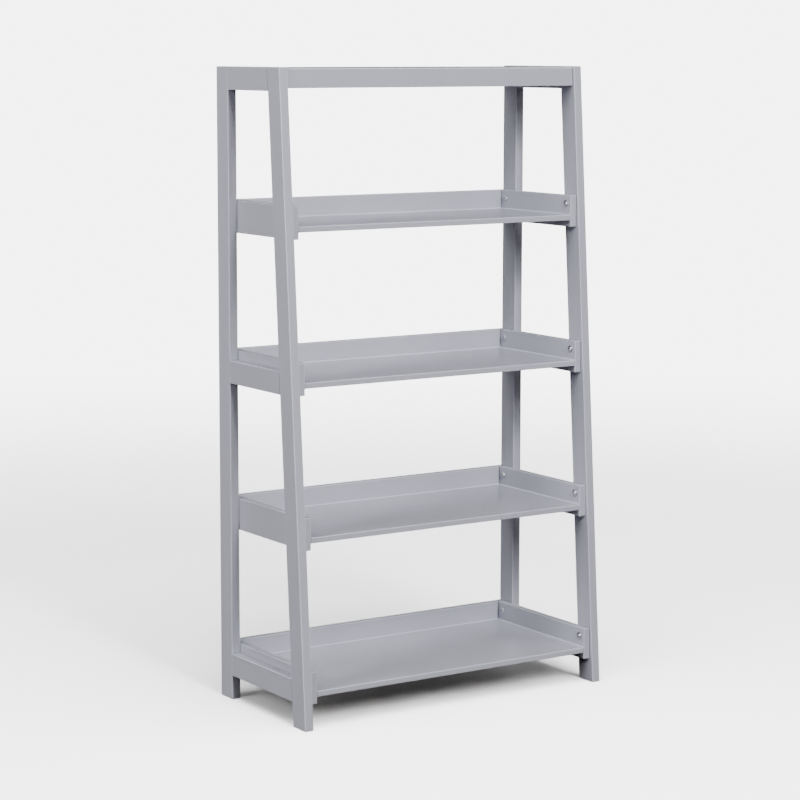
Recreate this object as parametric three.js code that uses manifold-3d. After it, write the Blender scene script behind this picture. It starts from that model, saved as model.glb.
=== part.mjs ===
// Ladder shelf: two side frames whose front posts lean back, four open-fronted trays between
// them that get deeper towards the floor, and a shallow top unit, all bolted together.
//
// Millimetres. +X is the shelf's right as seen from the front, +Y its rear, +Z up. The origin
// is on the floor, in the middle of the rectangle that the feet cover.

import * as THREE from 'three';
import { mergeVertices } from 'three/addons/utils/BufferGeometryUtils.js';
import Module from 'manifold-3d';

const wasm = await Module();
wasm.setup();

// ---------------------------------------------------------------- overall sizes
const height = 1220;
const width = 686; // across the outer faces of the side frames
const floorDepth = 320; // front of the front posts to back of the rear posts, on the floor
const topDepth = 235; // the same at the top: the front posts lean back by the difference

// ---------------------------------------------------------------- side frames
const postThickness = 18;
const rearPostDepth = 44;
const frontPostDepth = 44; // measured level, as the foot is cut
const railHeight = 44;
const shoulder = 8; // rail above and below each tenon
const tenonLength = 14;
const tenonShare = 1 / 3; // of the post's thickness

// ---------------------------------------------------------------- trays
const trayCount = 4;
const lowestTray = 47; // floor to the underside of the lowest tray
const trayPitch = 286.4;
const trayHeight = 62;
const panelThickness = 14;
const boardThickness = 11;
const boardLift = 13; // underside of the tray to the underside of its board
const traySetback = 4; // behind the front posts, at the tray's upper edge
const tongue = 5; // how far a board's edges enter their grooves
const grooveStop = 12; // uncut wood in front of each side's groove
const middleRailTray = 2; // the tray that the middle rails stand beside, counting from 0

// ---------------------------------------------------------------- top unit
const topRecess = 2; // below the tops of the posts
const topUnitHeight = 36.5;
const topRailThickness = 18;
const topRailSetback = 2; // behind the front posts, at their tops
const topRabbet = 6; // ledge in the front rail that carries the top board

// ---------------------------------------------------------------- bolts
const boltRadius = 3;
const headRadius = 7;
const headHeight = 3.6;
const headRim = 0.9; // straight edge of the head under its dome
const socketAcrossFlats = 4;
const socketDepth = 2;
const boltTipChamfer = 1;
const boltEndWood = 6; // wood left past a bolt's end in the frame
const rearBoltInset = 28; // rear face of the tray to the bolt
const frontBoltInset = 15.7; // front end of the tray to the bolt
const boltWeb = 5.7; // wood between a rail's tenon and the bolt hole above it
const topBoltInset = 32; // from the posts to the bolts of the top unit
const boltClearance = 0.3; // around a bolt, all round

// ---------------------------------------------------------------- fits
const gap = 0.3; // between pieces that meet
const mortiseSlack = 1; // past a tenon's end
const round = 16; // sides of a bolt or a hole

// ---------------------------------------------------------------- worked out
const rear = floorDepth / 2;
const insideFrames = width / 2 - postThickness;
const unitHalf = insideFrames - gap; // half the width of a tray or of the top unit
const panelInside = unitHalf - panelThickness;
const topOfUnit = height - topRecess;
const underTopUnit = topOfUnit - topUnitHeight;
const underTopBoard = topOfUnit - boardThickness;
const boltGrip = postThickness - boltEndWood; // how far a bolt enters the frame
const boltLength = panelThickness + 2 * gap + boltGrip;
const boltHole = boltRadius + boltClearance;
const boltLift = railHeight - shoulder + boltWeb + boltHole; // underside of the tray to the bolt

// Front and back faces of a leaning front post at a height.
const frontFace = (z) => rear - floorDepth + ((floorDepth - topDepth) * z) / height;
const frontPostBack = (z) => frontFace(z) + frontPostDepth;

// ---------------------------------------------------------------- finishes
const paint = { color: 0xb1b3ba, roughness: 0.42, metalness: 0 };
const zinc = { color: 0xc4c6c9, roughness: 0.3, metalness: 0.9 };

const shelf = new THREE.Group();
shelf.name = 'ladder_shelf';

function add(name, geometry, finish, parent = shelf) {
  const mesh = new THREE.Mesh(geometry, new THREE.MeshStandardMaterial(finish));
  mesh.name = name;
  parent.add(mesh);
  return mesh;
}

// ---------------------------------------------------------------- solids
function toSolid(geometry) {
  const bare = geometry.clone();
  bare.deleteAttribute('normal');
  bare.deleteAttribute('uv');
  const merged = mergeVertices(bare, 1e-4);
  return new wasm.Manifold(
    new wasm.Mesh({
      numProp: 3,
      vertProperties: new Float32Array(merged.attributes.position.array),
      triVerts: new Uint32Array(merged.index.array),
    }),
  );
}

function toGeometry(solid) {
  const mesh = solid.getMesh();
  const geometry = new THREE.BufferGeometry();
  geometry.setAttribute('position', new THREE.BufferAttribute(mesh.vertProperties, 3));
  geometry.setIndex(new THREE.BufferAttribute(mesh.triVerts, 1));
  geometry.computeVertexNormals();
  return geometry;
}

// A box between two corners.
function block([x0, y0, z0], [x1, y1, z1]) {
  const box = new THREE.BoxGeometry(x1 - x0, y1 - y0, z1 - z0);
  return toSolid(box.translate((x0 + x1) / 2, (y0 + y1) / 2, (z0 + z1) / 2));
}

// An outline of [y, z] points, counter-clockwise as seen from +X, made solid from x0 to x1.
function sideways(outline, x0, x1) {
  const shape = new THREE.Shape(outline.map(([y, z]) => new THREE.Vector2(y, z)));
  const geometry = new THREE.ExtrudeGeometry(shape, { depth: x1 - x0, bevelEnabled: false });
  const axes = new THREE.Matrix4().makeBasis(
    new THREE.Vector3(0, 1, 0),
    new THREE.Vector3(0, 0, 1),
    new THREE.Vector3(1, 0, 0),
  );
  return toSolid(geometry.applyMatrix4(axes).translate(x0, 0, 0));
}

// An outline of [x, y] points made solid from z0 to z1.
function upwards(outline, z0, z1) {
  const shape = new THREE.Shape(outline.map(([x, y]) => new THREE.Vector2(x, y)));
  const geometry = new THREE.ExtrudeGeometry(shape, { depth: z1 - z0, bevelEnabled: false });
  return toSolid(geometry.translate(0, 0, z0));
}

// A round hole along X.
function holeAcross(x0, x1, y, z, radius) {
  const cylinder = new THREE.CylinderGeometry(radius, radius, Math.abs(x1 - x0), round);
  return toSolid(cylinder.rotateZ(Math.PI / 2).translate((x0 + x1) / 2, y, z));
}

// ---------------------------------------------------------------- where things are
const trayFloor = (index) => lowestTray + index * trayPitch;
const trayFront = (index) => frontFace(trayFloor(index) + trayHeight) + traySetback;

// The two bolts on each side of a tray, as [name, y, z].
function trayBolts(index) {
  const z = trayFloor(index) + boltLift;
  return [
    ['rear', rear - rearBoltInset, z],
    ['front', trayFront(index) + frontBoltInset, z],
  ];
}

// The two bolts on each side of the top unit, in the middle of what is under its board.
function topBolts() {
  const z = (underTopUnit + underTopBoard) / 2;
  return [
    ['rear', rear - rearPostDepth - topBoltInset, z],
    ['front', frontPostBack(z) + topBoltInset, z],
  ];
}

// The rails of a side frame, as [name, underside].
const rails = [
  ['bottom', trayFloor(0)],
  ['middle', trayFloor(middleRailTray)],
  ['top', height - railHeight],
];

// ---------------------------------------------------------------- side frames
// The part of a rail between the posts, or with its tenons' reach on each end.
function railOutline(z0, z1, reach, spare) {
  const back = rear - rearPostDepth - gap + reach + spare;
  const front = (z) => frontPostBack(z) + gap - reach - spare;
  return [
    [front(z0 - spare), z0 - spare],
    [back, z0 - spare],
    [back, z1 + spare],
    [front(z1 + spare), z1 + spare],
  ];
}

// Both tenons of a rail in one bar, or with slack the mortises cut for them.
function tenonBar(underside, x0, x1, slack = 0) {
  const middle = (x0 + x1) / 2;
  const half = ((x1 - x0) * tenonShare) / 2 + slack;
  const reach = tenonLength + (slack ? mortiseSlack : 0);
  const z0 = underside + shoulder;
  const z1 = underside + railHeight - shoulder;
  return sideways(railOutline(z0, z1, reach, slack), middle - half, middle + half);
}

function sideFrame(side, sign) {
  const x0 = Math.min(sign * insideFrames, (sign * width) / 2);
  const x1 = x0 + postThickness;
  const frame = new THREE.Group();
  frame.name = `${side}_frame`;
  shelf.add(frame);

  const inside = sign * insideFrames;
  const drillTo = inside + sign * (boltGrip + mortiseSlack);
  const drill = (solid, y, z) =>
    solid.subtract(holeAcross(inside - sign, drillTo, y, z, boltHole));

  let rearPost = block([x0, rear - rearPostDepth, 0], [x1, rear, height]);
  let frontPost = sideways(
    [
      [frontFace(0), 0],
      [frontPostBack(0), 0],
      [frontPostBack(height), height],
      [frontFace(height), height],
    ],
    x0,
    x1,
  );
  for (const [, underside] of rails) {
    const mortises = tenonBar(underside, x0, x1, gap);
    rearPost = rearPost.subtract(mortises);
    frontPost = frontPost.subtract(mortises);
  }
  for (let index = 0; index < trayCount; index += 1) {
    const [atRear, atFront] = trayBolts(index);
    rearPost = drill(rearPost, atRear[1], atRear[2]);
    frontPost = drill(frontPost, atFront[1], atFront[2]);
  }
  add(`${side}_rear_post`, toGeometry(rearPost), paint, frame);
  add(`${side}_front_post`, toGeometry(frontPost), paint, frame);

  for (const [name, underside] of rails) {
    const outline = railOutline(underside, underside + railHeight, 0, 0);
    let rail = sideways(outline, x0, x1).add(tenonBar(underside, x0, x1));
    if (name === 'top') {
      for (const [, y, z] of topBolts()) rail = drill(rail, y, z);
    }
    add(`${side}_${name}_rail`, toGeometry(rail), paint, frame);
  }
}

// ---------------------------------------------------------------- trays
function traySide(index, sign) {
  const z0 = trayFloor(index);
  const front = trayFront(index);
  const outer = sign * unitHalf;
  const inner = sign * panelInside;
  const x0 = Math.min(outer, inner);
  let panel = block([x0, front, z0], [x0 + panelThickness, rear, z0 + trayHeight]);

  const grooveEnd = inner + sign * (tongue + gap);
  const groove = block(
    [Math.min(inner - sign, grooveEnd), front + grooveStop - gap, z0 + boardLift - gap],
    [Math.max(inner - sign, grooveEnd), rear - panelThickness, z0 + boardLift + boardThickness + gap],
  );
  panel = panel.subtract(groove);
  for (const [, y, z] of trayBolts(index)) {
    panel = panel.subtract(holeAcross(inner - sign, outer + sign, y, z, boltHole));
  }
  return toGeometry(panel);
}

function trayBack(index) {
  const z0 = trayFloor(index);
  const half = panelInside - gap;
  const inner = rear - panelThickness;
  const panel = block([-half, inner, z0], [half, rear, z0 + trayHeight]);
  const groove = block(
    [-half - 1, inner - 1, z0 + boardLift - gap],
    [half + 1, inner + tongue + gap, z0 + boardLift + boardThickness + gap],
  );
  return toGeometry(panel.subtract(groove));
}

// A board with a tongue along each side, stopped short of the front, and one along the back.
function trayBoard(index) {
  const half = panelInside - gap;
  const wide = panelInside + tongue;
  const front = trayFront(index);
  const stop = front + grooveStop;
  const back = rear - panelThickness - gap;
  const rightHalf = [
    [half, front],
    [half, stop],
    [wide, stop],
    [wide, back],
    [half, back],
    [half, back + gap + tongue],
  ];
  const leftHalf = rightHalf.map(([x, y]) => [-x, y]).reverse();
  const z0 = trayFloor(index) + boardLift;
  return toGeometry(upwards([...rightHalf, ...leftHalf], z0, z0 + boardThickness));
}

// ---------------------------------------------------------------- bolts
// A round-headed bolt with a hexagon socket, standing on +Y with its seat at y = 0.
function boltGeometry() {
  const domeSteps = 3;
  const profile = [
    [0, -boltLength],
    [boltRadius - boltTipChamfer, -boltLength],
    [boltRadius, -boltLength + boltTipChamfer],
    [boltRadius, 0],
    [headRadius, 0],
  ];
  for (let step = 0; step <= domeSteps; step += 1) {
    const turn = (step / domeSteps) * (Math.PI / 2);
    profile.push([headRadius * Math.cos(turn), headRim + (headHeight - headRim) * Math.sin(turn)]);
  }
  profile[profile.length - 1][0] = 0;
  const points = profile.map(([radius, y]) => new THREE.Vector2(radius, y));
  const turned = toSolid(new THREE.LatheGeometry(points, round));
  const corner = socketAcrossFlats / 2 / Math.cos(Math.PI / 6);
  const key = new THREE.CylinderGeometry(corner, corner, 2 * socketDepth, 6);
  return toGeometry(turned.subtract(toSolid(key.translate(0, headHeight, 0))));
}

// One bolt through a panel and into a side frame, its head inside the shelf.
function addBolt(name, geometry, sign, y, z, parent) {
  const bolt = add(name, geometry, zinc, parent);
  bolt.position.set(sign * (panelInside - gap), y, z);
  bolt.rotation.z = (sign * Math.PI) / 2;
}

// ---------------------------------------------------------------- top unit
function topFrontRail() {
  const front = frontFace(height) + topRailSetback;
  const back = front + topRailThickness;
  const outline = [
    [front, underTopUnit],
    [back, underTopUnit],
    [back, underTopBoard - gap],
    [back - topRabbet, underTopBoard - gap],
    [back - topRabbet, topOfUnit],
    [front, topOfUnit],
  ];
  return toGeometry(sideways(outline, -unitHalf, unitHalf));
}

function topUnit() {
  const unit = new THREE.Group();
  unit.name = 'top_unit';
  shelf.add(unit);
  const railBack = frontFace(height) + topRailSetback + topRailThickness;
  const ledge = railBack - topRabbet + gap;
  const underside = underTopBoard - gap;
  add('top_front_rail', topFrontRail(), paint, unit);
  add(
    'top_board',
    toGeometry(block([-unitHalf, ledge, underTopBoard], [unitHalf, rear, topOfUnit])),
    paint,
    unit,
  );
  const backHalf = panelInside - gap;
  add(
    'top_back_rail',
    toGeometry(block([-backHalf, rear - panelThickness, underTopUnit], [backHalf, rear, underside])),
    paint,
    unit,
  );
  for (const [side, sign] of sides) {
    const outer = sign * unitHalf;
    const inner = sign * panelInside;
    const x0 = Math.min(outer, inner);
    let cleat = block([x0, railBack + gap, underTopUnit], [x0 + panelThickness, rear, underside]);
    for (const [, y, z] of topBolts()) {
      const hole = holeAcross(inner - sign, outer + sign, y, z, boltHole);
      cleat = cleat.subtract(hole);
    }
    add(`top_${side}_cleat`, toGeometry(cleat), paint, unit);
    for (const [place, y, z] of topBolts()) {
      addBolt(`top_${side}_${place}_bolt`, boltGeometry(), sign, y, z, unit);
    }
  }
}

// ---------------------------------------------------------------- the whole shelf
const sides = [
  ['left', -1],
  ['right', 1],
];

for (const [side, sign] of sides) sideFrame(side, sign);

for (let index = 0; index < trayCount; index += 1) {
  const tray = new THREE.Group();
  tray.name = `tray_${index + 1}`;
  shelf.add(tray);
  add(`${tray.name}_board`, trayBoard(index), paint, tray);
  add(`${tray.name}_back`, trayBack(index), paint, tray);
  for (const [side, sign] of sides) {
    add(`${tray.name}_${side}_side`, traySide(index, sign), paint, tray);
    for (const [place, y, z] of trayBolts(index)) {
      addBolt(`${tray.name}_${side}_${place}_bolt`, boltGeometry(), sign, y, z, tray);
    }
  }
}

topUnit();

export default shelf;
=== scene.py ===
"""A ladder shelf in satin grey paint: two leaning side frames, four trays and a top unit.

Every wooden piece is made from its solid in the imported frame, with its outside edges rounded
over and painted. The bolts are turned from a profile, with a hexagon socket and a thread.
Lengths are in metres; +X is to the right as one faces the shelf, +Y to its rear, +Z up.
"""

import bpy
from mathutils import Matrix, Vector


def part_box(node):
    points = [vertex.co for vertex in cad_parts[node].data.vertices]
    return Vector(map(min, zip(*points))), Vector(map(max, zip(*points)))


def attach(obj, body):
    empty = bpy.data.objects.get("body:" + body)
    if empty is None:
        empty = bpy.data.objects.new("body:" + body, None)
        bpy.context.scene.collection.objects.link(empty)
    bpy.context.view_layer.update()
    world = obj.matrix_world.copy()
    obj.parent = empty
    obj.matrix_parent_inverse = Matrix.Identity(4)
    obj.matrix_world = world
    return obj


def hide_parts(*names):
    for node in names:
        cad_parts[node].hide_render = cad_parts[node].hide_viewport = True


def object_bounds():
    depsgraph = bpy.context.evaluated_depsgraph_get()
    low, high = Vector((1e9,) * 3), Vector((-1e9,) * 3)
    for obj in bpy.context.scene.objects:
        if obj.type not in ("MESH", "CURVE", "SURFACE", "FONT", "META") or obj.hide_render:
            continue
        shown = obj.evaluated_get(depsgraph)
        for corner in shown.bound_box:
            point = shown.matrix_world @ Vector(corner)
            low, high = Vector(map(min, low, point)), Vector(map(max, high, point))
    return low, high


bl_info = {
    "name": "Ladder Shelf",
    "version": (1, 0, 0),
    "blender": (4, 5, 0),
    "location": "3D View > Sidebar > Ladder Shelf",
    "description": "Builds a painted ladder shelf piece by piece, and a studio to show it in",
    "category": "Add Mesh",
}

import math
import random

import bmesh
import bpy
from bpy.props import (
    FloatProperty,
    FloatVectorProperty,
    IntProperty,
    PointerProperty,
)
from mathutils import Matrix, Vector

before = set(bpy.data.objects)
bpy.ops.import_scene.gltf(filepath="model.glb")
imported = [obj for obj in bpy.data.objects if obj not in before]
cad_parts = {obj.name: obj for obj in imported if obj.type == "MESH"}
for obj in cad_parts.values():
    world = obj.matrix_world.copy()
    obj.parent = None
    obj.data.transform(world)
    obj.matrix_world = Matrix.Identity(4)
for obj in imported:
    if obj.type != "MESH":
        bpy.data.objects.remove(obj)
cad_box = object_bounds()

SIDES = (("left", -1), ("right", 1))  # name, and the way along X that it lies
RAIL_PLACES = ("bottom", "middle", "top")
ENDS = ("rear", "front")  # of a side frame, where its posts stand and the bolts go
TRAYS = sorted(
    name.removesuffix("_board")
    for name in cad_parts
    if name.startswith("tray_") and name.endswith("_board")
)

BODY = "root"
MM = 0.001

WELD = 1e-5  # vertices closer than this are one vertex
FLAT = math.radians(0.5)  # faces turned less than this to each other are one face
CORNER = math.radians(50)  # edges of a wooden piece sharper than this are arrises
CREASE = math.radians(35)  # edges of a bolt sharper than this are shaded sharp
ON_PLANE = 5e-5  # a point this near a face's plane lies on it

# Where paint lies; ARRIS and JOINT are also the attributes that mark the edges to round
FACE = "face"
ARRIS = "arris"  # an outside edge, rounded all the way; its paint is made lighter, a painted highlight
JOINT = "joint"  # an edge that closes on a neighbour, eased a little; its paint is made darker, painted shade
BEAD = "bead"  # a bead of filler between a board and its panels; its paint is made lighter, a painted highlight
PLACES = (FACE, ARRIS, JOINT)  # of a wooden piece, in the order of its material slots

# Noise scales, in blobs to the metre
CLOUDS = 7.0
SPECKS = 90.0
RIPPLE = 520.0
SWELL = 70.0
GRAIN_LINES = 900.0
NIBS = 260.0
RUBBED_SPOTS = 310.0
RUBBED_STRETCHES = 13.0
SHEEN_CLOUDS = 24.0
ZINC_CLOUDS = 330.0
ZINC_SCRATCHES = 2600.0
ZINC_RINGS = 900.0
FLOOR_CLOUDS = 1.5
FLOOR_GRIT = 350.0

# What the drift of the paint's colour is made of, besides clouds
SPECK_SHARE = 0.4
STREAK_SHARE = 0.25  # on solid wood only
TONE_SHARE = 0.15  # from piece to piece

DRIFT_LOW = 0.25  # nearly all of the drift lies between these
DRIFT_HIGH = 0.75
NOISE_LOW = 0.3  # and nearly all of a single noise between these
NOISE_HIGH = 0.7

GRAIN_STRETCH = 0.02  # how little the noise changes along the grain
RUBBED_FROM = 0.36  # noise at which an arris starts to be rubbed
RUBBED_FULL = 0.41  # noise at which it is rubbed as far as it goes
RUBBED_SHARE = 0.55  # how far it goes to the primer's colour
SHADE_FULL = 0.4  # openness of a gap at which the painted shade is darkest
SHADE_NONE = 0.8  # openness at which there is no painted shade
NIB_FROM = 0.80  # noise at which a nib in the film starts
NIB_FULL = 0.84  # noise at which it is whole
NIB_ROUGHNESS = 0.15
ARRIS_ROUGHNESS = 0.7  # roughness of the paint on an arris, as a share of that on a face
GRAIN_UNEVENNESS = 0.05  # how far the roughness drifts on solid wood
BOARD_UNEVENNESS = 0.015
SWELL_HEIGHT = 2.0  # of the slow swell in the film, against its ripple
RING_HEIGHT = 0.5  # of the turning rings, against the scratches
ZINC_RELIEF = 0.006 * MM
FLOOR_RELIEF = 0.05 * MM

THREAD_DEPTH = 0.54  # as a share of the pitch
TURNS_TO_RINGS = 4  # rings of points to each turn of the thread
HEAD_RIM = 0.25  # straight part of the head's height, as a share
SOCKET_MOUTH = 1.3  # width of the socket's countersink, as a share of the socket's
SOCKET_FOOT = 0.96  # width of its foot, as a share
COUNTERSINK = 0.2 * MM
DRILL_POINT = 0.4 * MM  # depth of the dimple at the foot of the socket
CHAMFER = 0.15 * MM  # small bevels on the bolt's head and at the foot of its socket
TIP_TAPER = 1.0 * MM
DOME_RINGS = 7
BEAD_STEPS = 4

FLOOR_RADIUS = 90.0
FLOOR_FADE = (1.2, 5.0)  # from this far out the floor fades into the backdrop, up to this far
WHITE = (1.0, 1.0, 1.0, 1.0)
ROOM_COLOUR = (1.0, 0.78, 0.58, 1.0)
ROOM_BELOW = 0.35  # brightness of the room low down and overhead, as a share
ROOM_ABOVE = 1.25
LIGHT_DISTANCE = 6.0
SOFT_LIGHTS = (
    # name, power as a share of the key light's, width, azimuth, elevation, seen in gloss
    ("key_light", 1.0, 1.1, -5, 36, True),
    ("cross_light", 0.10, 1.4, -48, 34, True),
    ("low_key_light", 0.49, 1.2, -5, 24, True),
    ("corner_light", 0.16, 1.2, 36, 37, True),
    ("left_light", 0.70, 1.6, -79, 26, True),
    ("low_left_light", 0.31, 1.8, -101, 8, True),
    ("rear_left_light", 0.31, 2.2, -120, 50, True),
    ("right_fill", 0.75, 2.4, 102, 8, False),
    ("back_fill", 0.35, 2.4, 178, 8, False),
)


# ---------------------------------------------------------------- what a user would change
class WoodSettings(bpy.types.PropertyGroup):
    """How the edges of the wooden pieces are finished."""

    arris: FloatProperty(
        name="Arris radius",
        description="Rounding along the outside edges of posts, rails, panels and boards",
        default=1.4 * MM,
        min=0.3 * MM,
        max=4 * MM,
        unit="LENGTH",
    )
    top_rail_arris: FloatProperty(
        name="Top rail radius",
        description="Rounding along the edges of the rail across the top of the front",
        default=2.2 * MM,
        min=0.3 * MM,
        max=4 * MM,
        unit="LENGTH",
    )
    joint_share: FloatProperty(
        name="Rounding at joints",
        description="Rounding where a piece meets its neighbour, as a share of the arris radius",
        default=0.45,
        min=0.0,
        max=1.0,
        subtype="FACTOR",
    )
    arris_steps: IntProperty(
        name="Arris steps",
        description="Flats that make up each rounded edge",
        default=4,
        min=1,
        max=8,
    )
    bead: FloatProperty(
        name="Paint bead radius",
        description="Size of the bead of filler and paint where a board meets its panels",
        default=1.8 * MM,
        min=0.5 * MM,
        max=5 * MM,
        unit="LENGTH",
    )


class PaintSettings(bpy.types.PropertyGroup):
    """The satin grey paint."""

    colour: FloatVectorProperty(
        name="Paint colour",
        description="Colour of the paint on the flat of a face",
        default=(0.43, 0.437, 0.503),
        min=0.0,
        max=1.0,
        subtype="COLOR",
    )
    primer: FloatVectorProperty(
        name="Primer colour",
        description="Colour of the undercoat that shows where an edge is rubbed",
        default=(0.70, 0.70, 0.72),
        min=0.0,
        max=1.0,
        subtype="COLOR",
    )
    # a lighter colour on arrises and beads, standing in for a painted highlight
    highlight_tone: FloatProperty(
        name="Edge tone",
        description="How much lighter the paint is on an arris, where the film is thin, as a share",
        default=1.32,
        min=1.0,
        max=2.0,
        subtype="FACTOR",
    )
    # a darker colour in the joints and in closed-in gaps and grooves, standing in for painted shade
    joint_shade_tone: FloatProperty(
        name="Joint tone",
        description="How dark the paint is in the joints, where dust gathers, as a share",
        default=0.55,
        min=0.0,
        max=1.0,
        subtype="FACTOR",
    )
    # how far the painted shade in gaps and grooves reaches
    shade_reach: FloatProperty(
        name="Dust reach",
        description="How wide a gap or a groove may be and still gather dust",
        default=2.5 * MM,
        min=0.0,
        max=20 * MM,
        unit="LENGTH",
    )
    roughness: FloatProperty(
        name="Paint roughness",
        description="Roughness of the paint on solid wood, 0 for a mirror and 1 for chalk",
        default=0.36,
        min=0.05,
        max=1.0,
        subtype="FACTOR",
    )
    board_roughness: FloatProperty(
        name="Board roughness",
        description="Roughness of the paint on the smooth boards",
        default=0.25,
        min=0.05,
        max=1.0,
        subtype="FACTOR",
    )
    mottling: FloatProperty(
        name="Mottling",
        description="How far the colour drifts across a face, as a share of the colour",
        default=0.05,
        min=0.0,
        max=0.3,
        subtype="FACTOR",
    )
    peel: FloatProperty(
        name="Orange peel height",
        description="Height of the fine ripple that a sprayed film dries with",
        default=0.03 * MM,
        min=0.0,
        max=0.3 * MM,
        precision=6,
        unit="LENGTH",
    )
    board_peel: FloatProperty(
        name="Board ripple height",
        description="Height of the ripple in the film on the smooth boards",
        default=0.006 * MM,
        min=0.0,
        max=0.3 * MM,
        precision=6,
        unit="LENGTH",
    )
    grain: FloatProperty(
        name="Grain height",
        description="Height of the wood grain that shows through the film",
        default=0.02 * MM,
        min=0.0,
        max=0.3 * MM,
        precision=6,
        unit="LENGTH",
    )


class BoltSettings(bpy.types.PropertyGroup):
    """The round-headed bolts that hold the trays and the top unit to the side frames."""

    head_radius: FloatProperty(
        name="Head radius",
        description="Radius of the domed head",
        default=7 * MM,
        min=3 * MM,
        max=12 * MM,
        unit="LENGTH",
    )
    head_height: FloatProperty(
        name="Head height",
        description="Height of the domed head above the panel",
        default=3.5 * MM,
        min=1 * MM,
        max=8 * MM,
        unit="LENGTH",
    )
    socket: FloatProperty(
        name="Socket across flats",
        description="Size of the hexagon key that fits the socket",
        default=4.6 * MM,
        min=1.5 * MM,
        max=8 * MM,
        unit="LENGTH",
    )
    socket_depth: FloatProperty(
        name="Socket depth",
        description="Depth of the hexagon socket",
        default=2.4 * MM,
        min=0.5 * MM,
        max=4 * MM,
        unit="LENGTH",
    )
    shank_radius: FloatProperty(
        name="Shank radius",
        description="Radius over the crests of the thread",
        default=3 * MM,
        min=1 * MM,
        max=6 * MM,
        unit="LENGTH",
    )
    pitch: FloatProperty(
        name="Thread pitch",
        description="Distance between the turns of the thread",
        default=1 * MM,
        min=0.4 * MM,
        max=3 * MM,
        unit="LENGTH",
    )
    plain_length: FloatProperty(
        name="Plain length",
        description="Length of shank under the head that has no thread",
        default=9 * MM,
        min=0.0,
        max=20 * MM,
        unit="LENGTH",
    )
    sides: IntProperty(
        name="Sides",
        description="Points around a bolt; a multiple of six keeps the socket's corners sharp",
        default=36,
        min=12,
        max=96,
    )
    colour: FloatVectorProperty(
        name="Zinc colour",
        description="Colour of the zinc plating",
        default=(0.58, 0.58, 0.60),
        min=0.0,
        max=1.0,
        subtype="COLOR",
    )
    roughness: FloatProperty(
        name="Zinc roughness",
        description="Roughness of the zinc plating",
        default=0.33,
        min=0.05,
        max=1.0,
        subtype="FACTOR",
    )


class StudioSettings(bpy.types.PropertyGroup):
    """The floor, the lights and the camera."""

    floor_colour: FloatVectorProperty(
        name="Floor colour",
        description="Colour of the plain floor",
        default=(0.80, 0.80, 0.81),
        min=0.0,
        max=1.0,
        subtype="COLOR",
    )
    backdrop: FloatProperty(
        name="Backdrop brightness",
        description="How bright the far floor and the backdrop look",
        default=6.0,
        min=0.0,
        max=20.0,
    )
    floor_power: FloatProperty(
        name="Floor light",
        description="Power of the soft light that falls only on the floor",
        default=900.0,
        min=0.0,
        unit="POWER",
    )
    key_power: FloatProperty(
        name="Key light",
        description="Power of the main soft light in front of the shelf; the other lights follow it",
        default=290.0,
        min=0.0,
        unit="POWER",
    )
    room: FloatProperty(
        name="Room brightness",
        description="Brightness of the dim room around the shelf",
        default=0.033,
        min=0.0,
        max=3.0,
    )
    camera_place: FloatVectorProperty(
        name="Camera place",
        description="Where the camera stands",
        default=(-2.609, -3.950, 1.254),
        subtype="TRANSLATION",
        unit="LENGTH",
    )
    camera_heading: FloatProperty(
        name="Camera heading",
        description="Turn of the camera to the right of straight at the shelf's front",
        default=math.radians(33.13),
        subtype="ANGLE",
        unit="ROTATION",
    )
    camera_tilt: FloatProperty(
        name="Camera tilt",
        description="Tilt of the camera above the level",
        default=math.radians(-7.85),
        subtype="ANGLE",
        unit="ROTATION",
    )
    camera_roll: FloatProperty(
        name="Camera roll",
        description="Roll of the camera, anticlockwise",
        default=math.radians(0.1),
        subtype="ANGLE",
        unit="ROTATION",
    )
    lens: FloatProperty(
        name="Lens",
        description="Focal length of the lens, in millimetres, on a 36 mm sensor",
        default=110.5,
        min=20.0,
        max=300.0,
    )
    lift: FloatProperty(
        name="Lens shift",
        description="Upright shift of the lens, as a share of the picture's width",
        default=-0.0165,
        min=-0.1,
        max=0.1,
    )


# ---------------------------------------------------------------- materials
class Recipe:
    """A material or world made one node at a time."""

    def __init__(self, owner):
        owner.use_nodes = True
        self.tree = owner.node_tree
        self.tree.nodes.clear()

    def node(self, kind, inputs=None, **options):
        """A shader node; an input is a number, a colour or another node's output."""
        made = self.tree.nodes.new("ShaderNode" + kind)
        for name, value in options.items():
            setattr(made, name, value)
        for socket, value in (inputs or {}).items():
            if isinstance(value, bpy.types.NodeSocket):
                self.tree.links.new(value, made.inputs[socket])
            else:
                made.inputs[socket].default_value = value
        return made

    def noise(self, place, scale, detail=2.0, roughness=0.5):
        """Soft noise between 0 and 1, with about scale blobs to the metre."""
        inputs = {"Vector": place, "Scale": scale, "Detail": detail, "Roughness": roughness}
        return self.node("TexNoise", inputs).outputs["Fac"]

    def add(self, first, second):
        """Two values added."""
        return self.node("Math", {0: first, 1: second}, operation="ADD").outputs[0]

    def times(self, first, second):
        """Two values multiplied."""
        return self.node("Math", {0: first, 1: second}, operation="MULTIPLY").outputs[0]

    def blend(self, first, second, share):
        """Two values added, with the given share of the second."""
        return self.add(self.times(first, 1.0 - share), self.times(second, share))

    def between(self, value, low, high, to_low, to_high):
        """The value's way from low to high, given as the same way from to_low to to_high."""
        inputs = {
            "Value": value,
            "From Min": low,
            "From Max": high,
            "To Min": to_low,
            "To Max": to_high,
        }
        return self.node("MapRange", inputs).outputs[0]

    def mix(self, share, first, second):
        """A colour between two colours."""
        made = self.node("Mix", {0: share, 6: first, 7: second}, data_type="RGBA")
        return made.outputs[2]

    def bump(self, height, distance, under=None):
        """A bumpy normal, on top of another one if there is one."""
        inputs = {"Height": height, "Distance": distance, "Strength": 1.0}
        if under is not None:
            inputs["Normal"] = under
        return self.node("Bump", inputs).outputs[0]


def shade(colour, share):
    """A colour made lighter or darker, with its alpha."""
    return (*(min(1.0, channel * share) for channel in colour), 1.0)


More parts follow.
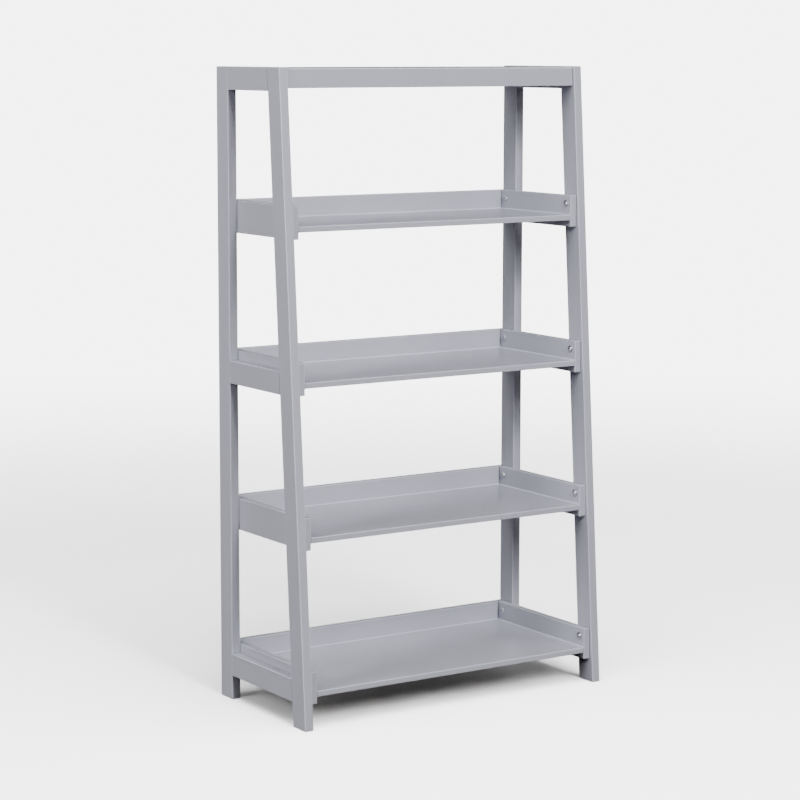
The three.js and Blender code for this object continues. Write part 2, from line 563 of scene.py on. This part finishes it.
def grain_lines(recipe, place, grain):
    """Noise in long streaks along the grain: X, Y or Z."""
    scale = tuple(GRAIN_STRETCH if axis == grain else 1.0 for axis in "XYZ")
    squeezed = recipe.node("Mapping", {"Vector": place, "Scale": scale}).outputs[0]
    return recipe.noise(squeezed, GRAIN_LINES, detail=3.0, roughness=0.6)


def paint_colour(recipe, settings, place, streak, grain, where):
    """The paint's colour, which drifts from piece to piece and across each face; it is made lighter
    on an arris or a bead, a painted highlight, and darker in a joint, painted shade.
    """
    tone = recipe.node("Attribute", attribute_type="OBJECT", attribute_name="tone").outputs["Fac"]
    cloud = recipe.noise(place, CLOUDS, detail=3.0)
    speck = recipe.noise(place, SPECKS, detail=3.0, roughness=0.65)
    drift = recipe.blend(cloud, speck, SPECK_SHARE)
    if grain:
        drift = recipe.blend(drift, streak, STREAK_SHARE)
    drift = recipe.add(drift, recipe.times(tone, TONE_SHARE))
    share = recipe.between(drift, DRIFT_LOW, DRIFT_HIGH, 0.0, 1.0)
    # paint on an arris or a bead is made lighter, a painted highlight; paint in a joint darker,
    # painted shade
    lift = {FACE: 1.0, JOINT: settings.joint_shade_tone}.get(where, settings.highlight_tone)
    dark = shade(settings.colour, lift * (1.0 - settings.mottling))
    light = shade(settings.colour, lift * (1.0 + settings.mottling))
    return recipe.mix(share, dark, light)


def rub_through(recipe, settings, place, colour):
    """The colour with spots, in a few stretches, where it is rubbed nearly to the primer."""
    spots = recipe.noise(place, RUBBED_SPOTS, detail=3.0, roughness=0.7)
    stretches = recipe.noise(place, RUBBED_STRETCHES, detail=2.0)
    wear = recipe.times(spots, stretches)
    rubbed = recipe.between(wear, RUBBED_FROM, RUBBED_FULL, 0.0, RUBBED_SHARE)
    return recipe.mix(rubbed, colour, shade(settings.primer, 1.0))


def paint_crevice_shade(recipe, settings, colour):
    """The colour with painted shade in gaps and grooves narrower than the shade's reach, darkest
    where they are most closed in.
    """
    shelter = {"Distance": settings.shade_reach}
    openness = recipe.node("AmbientOcclusion", shelter, samples=4).outputs["AO"]
    painted_shade = recipe.between(openness, SHADE_FULL, SHADE_NONE, 1.0, 0.0)
    return recipe.mix(painted_shade, colour, shade(settings.colour, settings.joint_shade_tone))


def paint(settings, grain, where):
    """Satin grey paint over wood whose grain runs along X, Y or Z, or over plain fibreboard.

    On an arris the paint is made lighter, a painted highlight, and the film is smoother, and here and
    there it is rubbed through to the primer. In a joint, and in gaps and grooves, it is made darker:
    painted shade.
    """
    under = "grain_" + grain.lower() if grain else "board"
    name = f"satin_paint_{under}_on_{where}"
    found = bpy.data.materials.get(name)
    if found:
        return found
    material = bpy.data.materials.new(name)
    recipe = Recipe(material)
    place = recipe.node("TexCoord").outputs["Object"]
    streak = grain_lines(recipe, place, grain) if grain else None
    colour = paint_colour(recipe, settings, place, streak, grain, where)
    if where == ARRIS:
        colour = rub_through(recipe, settings, place, colour)
    # painted shade in gaps and grooves, darker the more closed in they are; the beads are left out
    if where != BEAD:
        colour = paint_crevice_shade(recipe, settings, colour)

    nibs = recipe.between(recipe.noise(place, NIBS, detail=1.0), NIB_FROM, NIB_FULL, 0.0, 1.0)
    unevenness = GRAIN_UNEVENNESS if grain else BOARD_UNEVENNESS
    sheen = recipe.noise(place, SHEEN_CLOUDS, detail=4.0, roughness=0.6)
    sheen = recipe.between(sheen, NOISE_LOW, NOISE_HIGH, -unevenness, unevenness)
    film_roughness = settings.roughness if grain else settings.board_roughness
    if where == ARRIS:
        film_roughness = ARRIS_ROUGHNESS * film_roughness
    roughness = recipe.add(sheen, film_roughness)
    roughness = recipe.add(roughness, recipe.times(nibs, NIB_ROUGHNESS))

    ripple = recipe.noise(place, RIPPLE, detail=2.0)
    swell = recipe.noise(place, SWELL, detail=1.0)
    height = recipe.add(recipe.add(ripple, recipe.times(swell, SWELL_HEIGHT)), nibs)
    normal = recipe.bump(height, settings.peel if grain else settings.board_peel)
    if grain:
        normal = recipe.bump(streak, settings.grain, normal)

    inputs = {"Base Color": colour, "Roughness": roughness, "Normal": normal}
    film = recipe.node("BsdfPrincipled", inputs)
    recipe.node("OutputMaterial", {"Surface": film.outputs[0]})
    return material


def zinc(settings):
    """Bright zinc plating, with the fine rings that turning leaves."""
    material = bpy.data.materials.new("zinc_plated_steel")
    recipe = Recipe(material)
    place = recipe.node("TexCoord").outputs["Object"]
    cloud = recipe.noise(place, ZINC_CLOUDS, detail=3.0, roughness=0.6)
    scratch = recipe.noise(place, ZINC_SCRATCHES, detail=4.0, roughness=0.7)
    rings = recipe.node(
        "TexWave",
        {"Vector": place, "Scale": ZINC_RINGS, "Distortion": 1.2, "Detail": 2.0},
        wave_type="RINGS",
        rings_direction="Z",
    ).outputs["Fac"]
    dull = shade(settings.colour, 0.86)
    bright = shade(settings.colour, 1.1)
    colour = recipe.mix(cloud, dull, bright)
    smooth = settings.roughness - 0.07
    scratched = settings.roughness + 0.1
    roughness = recipe.between(scratch, NOISE_LOW, NOISE_HIGH, smooth, scratched)
    height = recipe.add(recipe.times(rings, RING_HEIGHT), scratch)
    normal = recipe.bump(height, ZINC_RELIEF)
    plating = recipe.node(
        "BsdfPrincipled",
        {"Base Color": colour, "Metallic": 1.0, "Roughness": roughness, "Normal": normal},
    )
    recipe.node("OutputMaterial", {"Surface": plating.outputs[0]})
    return material


# ---------------------------------------------------------------- wooden pieces
def cad_solid(node):
    """The solid of a CAD node, with its triangles joined back into whole flat faces."""
    solid = bmesh.new()
    solid.from_mesh(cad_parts[node].data)
    bmesh.ops.remove_doubles(solid, verts=solid.verts, dist=WELD)
    bmesh.ops.dissolve_limit(solid, angle_limit=FLAT, verts=solid.verts, edges=solid.edges)
    solid.normal_update()
    return solid


def is_outside(face, solid):
    """Whether nothing of the solid stands proud of this face."""
    start = face.verts[0].co
    return all((vert.co - start).dot(face.normal) < ON_PLANE for vert in solid.verts)


def mark_edges(solid):
    """Marks the edges to round: arrises outside, and joints where a piece closes on its neighbour."""
    outside = {face: is_outside(face, solid) for face in solid.faces}
    arrises = solid.edges.layers.float.new(ARRIS)
    joints = solid.edges.layers.float.new(JOINT)
    for edge in solid.edges:
        sharp = edge.calc_face_angle(0.0) > CORNER
        edge.smooth = not sharp
        if sharp and edge.is_convex:
            kind = arrises if all(outside[face] for face in edge.link_faces) else joints
            edge[kind] = 1.0
            edge.smooth = True


def ease(piece, name, edges, width, steps):
    """Rounds the marked edges of a piece, and gives the rounding the paint of such edges: lighter on
    an arris, a painted highlight, and darker at a joint, painted shade.
    """
    easing = piece.modifiers.new(name, "BEVEL")
    easing.limit_method = "WEIGHT"
    easing.edge_weight = edges
    easing.width = width
    easing.segments = steps
    easing.use_clamp_overlap = False
    easing.material = PLACES.index(edges)


def finish_mesh(piece, node):
    """Applies the piece's modifiers and pulls back anything that stands proud of the node's box."""
    depsgraph = bpy.context.evaluated_depsgraph_get()
    rough_mesh = piece.data
    finished = bpy.data.meshes.new_from_object(
        piece.evaluated_get(depsgraph), preserve_all_data_layers=True, depsgraph=depsgraph
    )
    low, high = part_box(node)
    for vert in finished.vertices:
        vert.co = [min(max(value, least), most) for value, least, most in zip(vert.co, low, high)]
    piece.modifiers.clear()
    piece.data = finished
    bpy.data.meshes.remove(rough_mesh)
    finished.name = piece.name


def wooden_piece(node, wood, paint_settings, grain, arris=None):
    """Makes a painted wooden piece with eased edges, which stands for a CAD node."""
    solid = cad_solid(node)
    mark_edges(solid)
    mesh = bpy.data.meshes.new("painted_" + node)
    solid.to_mesh(mesh)
    solid.free()
    mesh.shade_smooth()
    piece = bpy.data.objects.new("painted_" + node, mesh)
    bpy.context.scene.collection.objects.link(piece)
    for where in PLACES:
        mesh.materials.append(paint(paint_settings, grain, where))
    piece["tone"] = random.Random(node).uniform(-1.0, 1.0)

    radius = arris or wood.arris
    ease(piece, "joints", JOINT, wood.joint_share * radius, 1)
    ease(piece, "arrises", ARRIS, radius, wood.arris_steps)
    normals = piece.modifiers.new("flat_faces", "WEIGHTED_NORMAL")
    normals.keep_sharp = True
    finish_mesh(piece, node)

    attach(piece, BODY)
    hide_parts(node)


# ---------------------------------------------------------------- paint beads
def bead_section(radius, up):
    """The hollow section of a bead, as (in from the panel, up from the board) points."""
    points = [(0.0, 0.0)]
    for step in range(BEAD_STEPS + 1):
        turn = math.pi / 2 * step / BEAD_STEPS
        points.append((radius * (1 - math.sin(turn)), up * radius * (1 - math.cos(turn))))
    return points


def paint_bead(name, corners, inward, section, material):
    """A bead along a path of corners; inward gives, for each, how one step in moves a point."""
    mesh = bpy.data.meshes.new(name)
    solid = bmesh.new()
    loops = []
    for corner, step in zip(corners, inward):
        places = [corner + step * across + Vector((0, 0, up)) for across, up in section]
        loops.append([solid.verts.new(place) for place in places])
    count = len(section)
    for first, second in zip(loops, loops[1:]):
        for index in range(count):
            after = (index + 1) % count
            solid.faces.new((first[index], first[after], second[after], second[index]))
    solid.faces.new(loops[0][::-1])
    solid.faces.new(loops[-1])
    bmesh.ops.recalc_face_normals(solid, faces=solid.faces)
    solid.to_mesh(mesh)
    solid.free()
    mesh.materials.append(material)
    piece = bpy.data.objects.new(name, mesh)
    piece["tone"] = 0.5
    bpy.context.scene.collection.objects.link(piece)
    return piece


# ---------------------------------------------------------------- bolts
def ring(solid, sides, radius, height):
    """A ring of points around the bolt; radius is a function of the turn."""
    made = []
    for index in range(sides):
        turn = math.tau * index / sides
        across = radius(turn)
        made.append(solid.verts.new((across * math.cos(turn), across * math.sin(turn), height)))
    return made


def hexagon(across_flats):
    """The radius of a hexagon at a turn."""
    half_side = math.pi / 6
    return lambda turn: across_flats / 2 / math.cos((turn % (2 * half_side)) - half_side)


def circle(radius):
    """The radius of a circle at any turn."""
    return lambda turn: radius


def threaded(radius, pitch, height):
    """The radius of a thread's surface at a turn, at a height."""
    depth = THREAD_DEPTH * pitch

    def at(turn):
        phase = (height / pitch - turn / math.tau) % 1.0
        return radius - depth * abs(2 * phase - 1)

    return at


def bolt_mesh(bolts, length, material):
    """A round-headed bolt along Z: its seat at 0, its head above and its shank below."""
    solid = bmesh.new()
    sides = bolts.sides
    key = bolts.socket
    rim = HEAD_RIM * bolts.head_height
    rise = bolts.head_height - rim

    def dome(radius):
        return rim + rise * math.sqrt(max(0.0, 1 - (radius / bolts.head_radius) ** 2))

    mouth = key / 2 * SOCKET_MOUTH
    floor = dome(mouth) - bolts.socket_depth
    rings = [
        ring(solid, sides, hexagon(key * SOCKET_FOOT), floor),
        ring(solid, sides, hexagon(key), floor + CHAMFER),
        ring(solid, sides, hexagon(key), dome(mouth) - COUNTERSINK),
        ring(solid, sides, circle(mouth), dome(mouth)),
    ]
    first_turn = math.asin(mouth / bolts.head_radius)
    for step in range(1, DOME_RINGS + 1):
        turn = first_turn + (math.pi / 2 - first_turn) * step / DOME_RINGS
        across = bolts.head_radius * math.sin(turn)
        rings.append(ring(solid, sides, circle(across), dome(across)))
    rings.append(ring(solid, sides, circle(bolts.head_radius), CHAMFER))
    rings.append(ring(solid, sides, circle(bolts.head_radius - CHAMFER), 0.0))
    rings.append(ring(solid, sides, circle(bolts.shank_radius), 0.0))
    height = -bolts.plain_length
    rings.append(ring(solid, sides, circle(bolts.shank_radius), height))
    while height > -length + TIP_TAPER:
        height -= bolts.pitch / TURNS_TO_RINGS
        rings.append(ring(solid, sides, threaded(bolts.shank_radius, bolts.pitch, height), height))
    rings.append(ring(solid, sides, circle(bolts.shank_radius - TIP_TAPER), -length))

    for upper, lower in zip(rings, rings[1:]):
        for index in range(sides):
            after = (index + 1) % sides
            solid.faces.new((upper[index], lower[index], lower[after], upper[after]))
    for end, height in ((rings[0], floor - DRILL_POINT), (rings[-1], -length)):
        centre = solid.verts.new((0.0, 0.0, height))
        for index in range(sides):
            solid.faces.new((end[index], end[(index + 1) % sides], centre))
    bmesh.ops.recalc_face_normals(solid, faces=solid.faces)
    for face in solid.faces:
        face.smooth = True
    for edge in solid.edges:
        edge.smooth = edge.calc_face_angle(0.0) < CREASE
    mesh = bpy.data.meshes.new("round_headed_bolt")
    solid.to_mesh(mesh)
    solid.free()
    mesh.materials.append(material)
    return mesh


# ---------------------------------------------------------------- operators
class ShelfOperator:
    """What the shelf's operators share."""

    bl_options = {"REGISTER", "UNDO"}

    def build(self, context, nodes, grain, arris=None):
        """Makes a wooden piece for each node, with its grain along X, Y or Z, or none."""
        shelf = context.scene.ladder_shelf
        for node in nodes:
            wooden_piece(node, shelf.wood, shelf.paint, grain, arris)
        return {"FINISHED"}


class LADDER_SHELF_OT_posts(ShelfOperator, bpy.types.Operator):
    """Make the upright rear posts and the leaning front posts"""

    bl_idname = "ladder_shelf.posts"
    bl_label = "Posts"

    def execute(self, context):
        nodes = [f"{side}_{place}_post" for side, _ in SIDES for place in ENDS]
        return self.build(context, nodes, "Z")


class LADDER_SHELF_OT_rails(ShelfOperator, bpy.types.Operator):
    """Make the rails of the side frames"""

    bl_idname = "ladder_shelf.rails"
    bl_label = "Side Rails"

    def execute(self, context):
        nodes = [f"{side}_{place}_rail" for side, _ in SIDES for place in RAIL_PLACES]
        return self.build(context, nodes, "Y")


class LADDER_SHELF_OT_tray_boards(ShelfOperator, bpy.types.Operator):
    """Make the board of each tray"""

    bl_idname = "ladder_shelf.tray_boards"
    bl_label = "Tray Boards"

    def execute(self, context):
        return self.build(context, [tray + "_board" for tray in TRAYS], None)


class LADDER_SHELF_OT_tray_backs(ShelfOperator, bpy.types.Operator):
    """Make the back panel of each tray"""

    bl_idname = "ladder_shelf.tray_backs"
    bl_label = "Tray Backs"

    def execute(self, context):
        return self.build(context, [tray + "_back" for tray in TRAYS], "X")


class LADDER_SHELF_OT_tray_sides(ShelfOperator, bpy.types.Operator):
    """Make the side panels of each tray"""

    bl_idname = "ladder_shelf.tray_sides"
    bl_label = "Tray Sides"

    def execute(self, context):
        nodes = [f"{tray}_{side}_side" for tray in TRAYS for side, _ in SIDES]
        return self.build(context, nodes, "Y")


class LADDER_SHELF_OT_top_rails(ShelfOperator, bpy.types.Operator):
    """Make the rails across the front and the back of the top"""

    bl_idname = "ladder_shelf.top_rails"
    bl_label = "Top Rails"

    def execute(self, context):
        wood = context.scene.ladder_shelf.wood
        self.build(context, ["top_front_rail"], "X", wood.top_rail_arris)
        return self.build(context, ["top_back_rail"], "X")


class LADDER_SHELF_OT_top_board(ShelfOperator, bpy.types.Operator):
    """Make the board across the top"""

    bl_idname = "ladder_shelf.top_board"
    bl_label = "Top Board"

    def execute(self, context):
        return self.build(context, ["top_board"], None)


class LADDER_SHELF_OT_cleats(ShelfOperator, bpy.types.Operator):
    """Make the cleats that carry the top board at its sides"""

    bl_idname = "ladder_shelf.cleats"
    bl_label = "Top Cleats"

    def execute(self, context):
        return self.build(context, [f"top_{side}_cleat" for side, _ in SIDES], "Y")


class LADDER_SHELF_OT_paint_beads(bpy.types.Operator):
    """Make the beads of filler and paint where each tray board meets its panels"""

    bl_idname = "ladder_shelf.paint_beads"
    bl_label = "Paint Beads"
    bl_options = {"REGISTER", "UNDO"}

    def execute(self, context):
        shelf = context.scene.ladder_shelf
        material = paint(shelf.paint, None, BEAD)
        for tray in TRAYS:
            board_low, board_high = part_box(tray + "_board")
            left_outside, left_inside = (corner.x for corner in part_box(tray + "_left_side"))
            right_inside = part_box(tray + "_right_side")[0].x
            panel_thickness = left_inside - left_outside
            ends = board_low.y + shelf.wood.arris
            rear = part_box(tray + "_back")[1].y - panel_thickness
            for level, up, height in (("top", 1, board_high.z), ("under", -1, board_low.z)):
                corners = [
                    Vector((left_inside, ends, height)),
                    Vector((left_inside, rear, height)),
                    Vector((right_inside, rear, height)),
                    Vector((right_inside, ends, height)),
                ]
                inward = [Vector(step) for step in ((1, 0, 0), (1, -1, 0), (-1, -1, 0), (-1, 0, 0))]
                section = bead_section(shelf.wood.bead, up)
                piece = paint_bead(f"{tray}_{level}_bead", corners, inward, section, material)
                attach(piece, BODY)
        return {"FINISHED"}


class LADDER_SHELF_OT_bolts(bpy.types.Operator):
    """Make the bolts that hold the trays and the top unit to the side frames"""

    bl_idname = "ladder_shelf.bolts"
    bl_label = "Bolts"
    bl_options = {"REGISTER", "UNDO"}

    def execute(self, context):
        bolts = context.scene.ladder_shelf.bolts
        material = zinc(bolts)
        mesh = None
        for unit in (*TRAYS, "top"):
            for side, sign in SIDES:
                panel = f"{unit}_{side}_side" if unit in TRAYS else f"top_{side}_cleat"
                low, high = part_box(panel)
                seat = low.x if sign > 0 else high.x
                for place in ENDS:
                    node = f"{unit}_{side}_{place}_bolt"
                    low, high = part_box(node)
                    tip = high.x if sign > 0 else low.x
                    if mesh is None:
                        mesh = bolt_mesh(bolts, abs(tip - seat), material)
                    piece = bpy.data.objects.new("zinc_" + node, mesh)
                    context.scene.collection.objects.link(piece)
                    middle = (low + high) / 2
                    turn = random.Random(node).uniform(0, math.tau)
                    piece.matrix_world = (
                        Matrix.Translation((seat, middle.y, middle.z))
                        @ Matrix.Rotation(-sign * math.pi / 2, 4, "Y")
                        @ Matrix.Rotation(turn, 4, "Z")
                    )
                    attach(piece, BODY)
                    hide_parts(node)
        return {"FINISHED"}


# ---------------------------------------------------------------- studio
def floor_material(studio):
    """A plain pale floor that fades into the backdrop far from the shelf."""
    material = bpy.data.materials.new("pale_floor")
    recipe = Recipe(material)
    place = recipe.node("TexCoord").outputs["Object"]
    cloud = recipe.noise(place, FLOOR_CLOUDS, detail=3.0)
    colour = recipe.mix(cloud, shade(studio.floor_colour, 0.985), shade(studio.floor_colour, 1.015))
    normal = recipe.bump(recipe.noise(place, FLOOR_GRIT, detail=2.0), FLOOR_RELIEF)
    near = recipe.node("BsdfDiffuse", {"Color": colour, "Normal": normal})
    far = recipe.node("Emission", {"Color": WHITE, "Strength": studio.backdrop})
    from_middle = recipe.node("VectorMath", {0: place}, operation="LENGTH").outputs["Value"]
    inputs = {"Value": from_middle, "From Min": FLOOR_FADE[0], "From Max": FLOOR_FADE[1]}
    fade = recipe.node("MapRange", inputs, interpolation_type="SMOOTHSTEP").outputs[0]
    both = recipe.node("MixShader", {0: fade, 1: near.outputs[0], 2: far.outputs[0]})
    recipe.node("OutputMaterial", {"Surface": both.outputs[0]})
    return material


def make_floor(context, studio):
    """A wide round floor."""
    mesh = bpy.data.meshes.new("floor")
    disc = bmesh.new()
    bmesh.ops.create_circle(disc, cap_ends=True, radius=FLOOR_RADIUS, segments=96)
    disc.to_mesh(mesh)
    disc.free()
    mesh.materials.append(floor_material(studio))
    floor = bpy.data.objects.new("floor", mesh)
    context.scene.collection.objects.link(floor)
    floor.visible_diffuse = False
    floor.visible_glossy = False
    return floor


def soft_light(context, name, power, width, azimuth, elevation, distance, aim):
    """A square soft light that faces a point; azimuth 0 is in front, 90 to the right."""
    light = bpy.data.lights.new(name, "AREA")
    light.shape = "SQUARE"
    light.size = width
    light.energy = power
    lamp = bpy.data.objects.new(name, light)
    context.scene.collection.objects.link(lamp)
    turn, rise = math.radians(azimuth), math.radians(elevation)
    back = Vector((math.sin(turn) * math.cos(rise), -math.cos(turn) * math.cos(rise), math.sin(rise)))
    lamp.location = Vector(aim) + back * distance
    lamp.rotation_euler = back.to_track_quat("Z", "Y").to_euler()
    lamp.visible_camera = False
    return lamp


def make_room(studio):
    """A dim warm room, lighter overhead, that the camera sees as the pale backdrop."""
    world = bpy.data.worlds.new("studio")
    recipe = Recipe(world)
    direction = recipe.node("TexCoord").outputs["Generated"]
    upward = recipe.node("SeparateXYZ", {0: direction}).outputs["Z"]
    level = recipe.between(upward, -0.4, 0.8, ROOM_BELOW, ROOM_ABOVE)
    strength = recipe.times(level, studio.room)
    room = recipe.node("Background", {"Color": ROOM_COLOUR, "Strength": strength})
    backdrop = recipe.node("Background", {"Color": WHITE, "Strength": studio.backdrop})
    seen = recipe.node("LightPath").outputs["Is Camera Ray"]
    both = recipe.node("MixShader", {0: seen, 1: room.outputs[0], 2: backdrop.outputs[0]})
    recipe.node("OutputWorld", {"Surface": both.outputs[0]})
    return world


def make_camera(context, studio):
    """Makes the camera, in front of the shelf and to its left."""
    data = bpy.data.cameras.new("camera")
    data.lens = studio.lens
    data.shift_y = studio.lift
    data.clip_end = 200.0  # past the rim of the floor
    camera = bpy.data.objects.new("camera", data)
    context.scene.collection.objects.link(camera)
    upright = Matrix.Rotation(math.pi / 2 + studio.camera_tilt, 4, "X")
    camera.matrix_world = (
        Matrix.Translation(studio.camera_place)
        @ Matrix.Rotation(-studio.camera_heading, 4, "Z")
        @ upright
        @ Matrix.Rotation(studio.camera_roll, 4, "Z")
    )
    context.scene.camera = camera


class LADDER_SHELF_OT_studio(bpy.types.Operator):
    """Make the floor, the lights and the camera"""

    bl_idname = "ladder_shelf.studio"
    bl_label = "Studio"
    bl_options = {"REGISTER", "UNDO"}

    def execute(self, context):
        studio = context.scene.ladder_shelf.studio
        low, high = cad_box
        middle = (low + high) / 2
        floor = make_floor(context, studio)
        for name, share, width, azimuth, elevation, in_gloss in SOFT_LIGHTS:
            power = share * studio.key_power
            lamp = soft_light(context, name, power, width, azimuth, elevation, LIGHT_DISTANCE, middle)
            lamp.visible_glossy = in_gloss
        above_floor = soft_light(
            context,
            "floor_light",
            power=studio.floor_power,
            width=3.5,
            azimuth=-20,
            elevation=72,
            distance=4.4,
            aim=(0, 0, 0),
        )
        only_floor = bpy.data.collections.new("floor_only")
        only_floor.objects.link(floor)
        above_floor.light_linking.receiver_collection = only_floor
        context.scene.world = make_room(studio)
        make_camera(context, studio)
        return {"FINISHED"}


# ---------------------------------------------------------------- sidebar and registration
class LadderShelfSettings(bpy.types.PropertyGroup):
    """Everything about the shelf that a user would change."""

    wood: PointerProperty(type=WoodSettings)
    paint: PointerProperty(type=PaintSettings)
    bolts: PointerProperty(type=BoltSettings)
    studio: PointerProperty(type=StudioSettings)


OPERATORS = (
    LADDER_SHELF_OT_posts,
    LADDER_SHELF_OT_rails,
    LADDER_SHELF_OT_tray_boards,
    LADDER_SHELF_OT_tray_backs,
    LADDER_SHELF_OT_tray_sides,
    LADDER_SHELF_OT_top_rails,
    LADDER_SHELF_OT_top_board,
    LADDER_SHELF_OT_cleats,
    LADDER_SHELF_OT_paint_beads,
    LADDER_SHELF_OT_bolts,
    LADDER_SHELF_OT_studio,
)


class LADDER_SHELF_PT_sidebar(bpy.types.Panel):
    """The shelf's pieces and settings"""

    bl_idname = "LADDER_SHELF_PT_sidebar"
    bl_label = "Ladder Shelf"
    bl_space_type = "VIEW_3D"
    bl_region_type = "UI"
    bl_category = "Ladder Shelf"

    def draw(self, context):
        column = self.layout.column(align=True)
        for operator in OPERATORS:
            column.operator(operator.bl_idname)
        shelf = context.scene.ladder_shelf
        for group in (shelf.wood, shelf.paint, shelf.bolts, shelf.studio):
            box = self.layout.box()
            for name in group.bl_rna.properties.keys():
                if name not in ("rna_type", "name"):
                    box.prop(group, name)


CLASSES = (
    WoodSettings,
    PaintSettings,
    BoltSettings,
    StudioSettings,
    LadderShelfSettings,
    *OPERATORS,
    LADDER_SHELF_PT_sidebar,
)


def register():
    """Adds the add-on's classes and the scene's settings."""
    for cls in CLASSES:
        bpy.utils.register_class(cls)
    bpy.types.Scene.ladder_shelf = PointerProperty(type=LadderShelfSettings)


def unregister():
    """Takes the add-on's classes and settings away."""
    del bpy.types.Scene.ladder_shelf
    for cls in reversed(CLASSES):
        bpy.utils.unregister_class(cls)


def main():
    """Registers the add-on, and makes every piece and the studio."""
    register()
    for operator in OPERATORS:
        group, name = operator.bl_idname.split(".")
        getattr(getattr(bpy.ops, group), name)()


if __name__ == "__main__":
    main()
